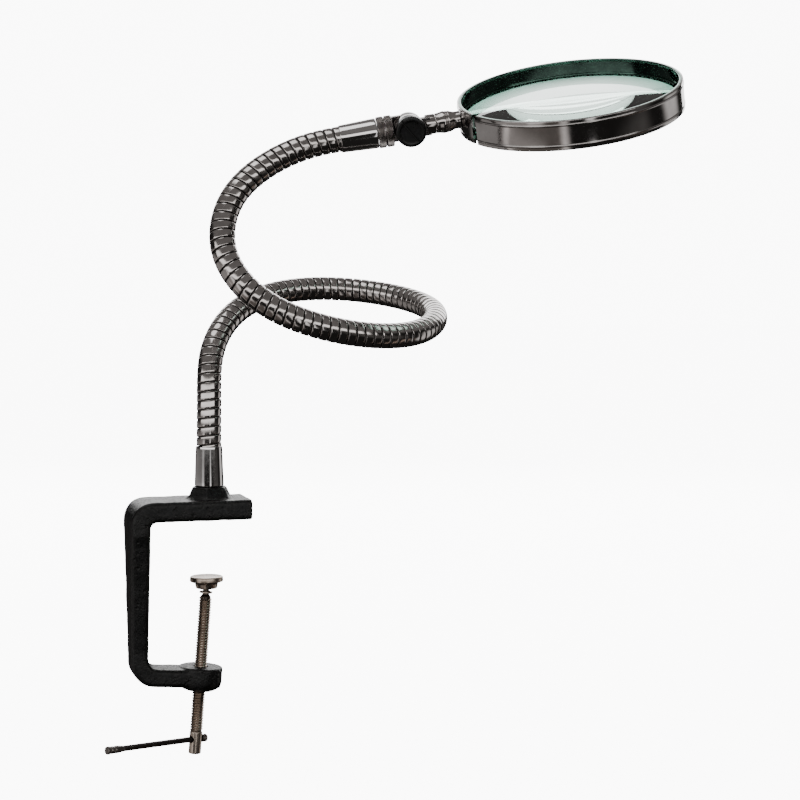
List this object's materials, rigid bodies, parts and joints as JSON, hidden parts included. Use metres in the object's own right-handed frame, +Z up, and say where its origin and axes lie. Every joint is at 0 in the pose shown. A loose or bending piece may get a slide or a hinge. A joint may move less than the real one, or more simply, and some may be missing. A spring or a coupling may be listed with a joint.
{
  "type": "clamp-on desk magnifier",
  "caption": "Round framed magnifying lens on a coiled metal gooseneck arm, with a tilt joint and knob, held to a table edge by a cast screw clamp.",
  "frame": {"origin": "flat underside of the clamp's upper jaw, on the axis of the lower ferrule, where it rests on the tabletop", "axes": "+Z up out of the tabletop along the lower ferrule, +X along the jaws from the spine towards the table, +Y across the jaws"},
  "size_m": [0.2636, 0.156, 0.3335],
  "materials": {
    "cast": "black enamel over a rough casting",
    "chrome": "bright plated",
    "nickel": "dark nickel plated",
    "steel": "slightly bronzed steel",
    "plastic": "black moulded knob",
    "glass": "polished, faint green tint"
  },
  "bodies": {
    "clamp": {"clamp_frame": "cast", "lower_stud": "steel", "lower_ferrule": "chrome", "neck_link_01": "nickel"},
    "neck_02": {"neck_link_02": "nickel"},
    "neck_03": {"neck_link_03": "nickel"},
    "neck_04": {"neck_link_04": "nickel"},
    "neck_05": {"neck_link_05": "nickel"},
    "neck_06": {"neck_link_06": "nickel"},
    "neck_07": {"neck_link_07": "nickel"},
    "neck_08": {"neck_link_08": "nickel"},
    "neck_09": {"neck_link_09": "nickel"},
    "neck_10": {"neck_link_10": "nickel"},
    "neck_11": {"neck_link_11": "nickel"},
    "neck_12": {"neck_link_12": "nickel"},
    "neck_13": {"neck_link_13": "nickel"},
    "neck_14": {"neck_link_14": "nickel"},
    "neck_15": {"neck_link_15": "nickel"},
    "neck_16": {"neck_link_16": "nickel"},
    "neck_17": {"neck_link_17": "nickel"},
    "neck_18": {"neck_link_18": "nickel"},
    "arm_end": {"neck_link_19": "nickel", "upper_ferrule": "chrome", "swivel_spigot": "steel"},
    "collar": {"swivel_collar": "nickel", "friction_washer": "steel", "knob_washer": "steel"},
    "head": {"lens_stem": "nickel", "turned_neck": "nickel", "rim_band": "chrome", "lens": "glass", "lens_snap_ring": "steel"},
    "knob": {"tilt_knob": "plastic", "tilt_pin": "steel"},
    "screw_carrier": {"pad_retaining_ring": "steel"},
    "screw": {"clamp_screw": "steel"},
    "pad": {"pressure_pad": "steel"},
    "bar": {"tommy_bar": "steel", "bar_grip": "steel", "bar_stop": "steel"}
  },
  "joints": [
    {"name": "neck_bend_01", "type": "hinge", "parent": "clamp", "child": "neck_02", "pos_m": [0.00008, 0.00016, 0.0421], "axis": [-0.9772, 0.2123, 0.0097], "range_deg": [-10, 5]},
    {"name": "neck_bend_02", "type": "hinge", "parent": "neck_02", "child": "neck_03", "pos_m": [0.00088, 0.00311, 0.0664], "axis": [-0.7215, 0.6859, -0.0947], "range_deg": [-19.5, 5]},
    {"name": "neck_bend_03", "type": "hinge", "parent": "neck_03", "child": "neck_04", "pos_m": [0.0078, 0.01199, 0.08778], "axis": [-0.4899, 0.8432, -0.2213], "range_deg": [-27.4, 5]},
    {"name": "neck_swing_04", "type": "hinge", "parent": "neck_04", "child": "neck_05", "pos_m": [0.02395, 0.02413, 0.10134], "axis": [0.5643, -0.3226, -0.7599], "range_deg": [-20, 20]},
    {"name": "neck_bend_05", "type": "hinge", "parent": "neck_05", "child": "neck_06", "pos_m": [0.04567, 0.03323, 0.10763], "axis": [-0.0099, 0.533, -0.846], "range_deg": [-20.2, 5]},
    {"name": "neck_bend_06", "type": "hinge", "parent": "neck_06", "child": "neck_07", "pos_m": [0.06992, 0.03451, 0.1089], "axis": [0.0207, 0.2947, -0.9554], "range_deg": [-27.2, 5]},
    {"name": "neck_bend_07", "type": "hinge", "parent": "neck_07", "child": "neck_08", "pos_m": [0.09169, 0.02417, 0.10647], "axis": [-0.0093, 0.2181, -0.9759], "range_deg": [-27.6, 5]},
    {"name": "neck_swing_08", "type": "hinge", "parent": "neck_08", "child": "neck_09", "pos_m": [0.10507, 0.00445, 0.10193], "axis": [-0.9449, -0.3045, -0.1205], "range_deg": [-20, 20]},
    {"name": "neck_bend_09", "type": "hinge", "parent": "neck_09", "child": "neck_10", "pos_m": [0.10652, -0.01896, 0.09592], "axis": [0.059, 0.2585, -0.9642], "range_deg": [-28.2, 5]},
    {"name": "neck_bend_10", "type": "hinge", "parent": "neck_10", "child": "neck_11", "pos_m": [0.09535, -0.03968, 0.08998], "axis": [-0.0889, 0.3345, -0.9382], "range_deg": [-25, 5]},
    {"name": "neck_bend_11", "type": "hinge", "parent": "neck_11", "child": "neck_12", "pos_m": [0.0755, -0.05343, 0.0873], "axis": [-0.1711, 0.4374, -0.8828], "range_deg": [-20.9, 5]},
    {"name": "neck_swing_12", "type": "hinge", "parent": "neck_12", "child": "neck_13", "pos_m": [0.05189, -0.05936, 0.08923], "axis": [0.0163, 0.7892, 0.6139], "range_deg": [-20, 20]},
    {"name": "neck_bend_13", "type": "hinge", "parent": "neck_13", "child": "neck_14", "pos_m": [0.02831, -0.05954, 0.09566], "axis": [-0.1386, 0.8229, -0.551], "range_deg": [-17.6, 5]},
    {"name": "neck_bend_14", "type": "hinge", "parent": "neck_14", "child": "neck_15", "pos_m": [0.00807, -0.05499, 0.10833], "axis": [-0.0185, 0.9188, -0.3943], "range_deg": [-28.7, 5]},
    {"name": "neck_bend_15", "type": "hinge", "parent": "neck_15", "child": "neck_16", "pos_m": [-0.00181, -0.04702, 0.12877], "axis": [0.1188, 0.9397, -0.3207], "range_deg": [-37.8, 5]},
    {"name": "neck_swing_16", "type": "hinge", "parent": "neck_16", "child": "neck_17", "pos_m": [0.00497, -0.04046, 0.15092], "axis": [0.8041, -0.3148, -0.5043], "range_deg": [-20, 20]},
    {"name": "neck_bend_17", "type": "hinge", "parent": "neck_17", "child": "neck_18", "pos_m": [0.02343, -0.03821, 0.16659], "axis": [0.245, 0.8646, -0.4388], "range_deg": [-18.6, 5]},
    {"name": "neck_bend_18", "type": "hinge", "parent": "neck_18", "child": "arm_end", "pos_m": [0.04602, -0.04056, 0.17547], "axis": [0.2789, 0.8628, -0.4218], "range_deg": [-11.7, 5]},
    {"name": "head_swivel", "type": "hinge", "parent": "arm_end", "child": "collar", "pos_m": [0.08468, -0.04862, 0.18241], "axis": [0.9652, -0.1999, 0.1685], "range_deg": [-75, 75]},
    {"name": "lens_tilt", "type": "hinge", "parent": "collar", "child": "head", "pos_m": [0.08468, -0.04862, 0.18241], "axis": [-0.1345, -0.9324, -0.3355], "range_deg": [-80, 80]},
    {"name": "knob_turn", "type": "hinge", "parent": "collar", "child": "knob", "pos_m": [0.08468, -0.04862, 0.18241], "axis": [-0.1345, -0.9324, -0.3355], "range_deg": [0, 360]},
    {"name": "clamp_travel", "type": "slide", "parent": "clamp", "child": "screw_carrier", "axis": [0.0767, 0, 0.9971], "range_m": [-0.033, 0.0185]},
    {"name": "clamp_screw_turn", "type": "hinge", "parent": "screw_carrier", "child": "screw", "pos_m": [-0.0016, 0, -0.0314], "axis": [0.0767, 0, 0.9971], "range_deg": [-9350, 5240]},
    {"name": "pad_tilt", "type": "hinge", "parent": "screw_carrier", "child": "pad", "pos_m": [-0.0016, 0, -0.0314], "axis": [0, 1, 0], "range_deg": [-3.6, 12.4]},
    {"name": "bar_slide", "type": "slide", "parent": "screw", "child": "bar", "axis": [0.8762, 0.4772, -0.0674], "range_m": [0, 0.0385]}
  ],
  "couplings": [
    {"joint": "clamp_travel", "follows": "clamp_screw_turn", "m_per_rad": 0.00020213}
  ]
}
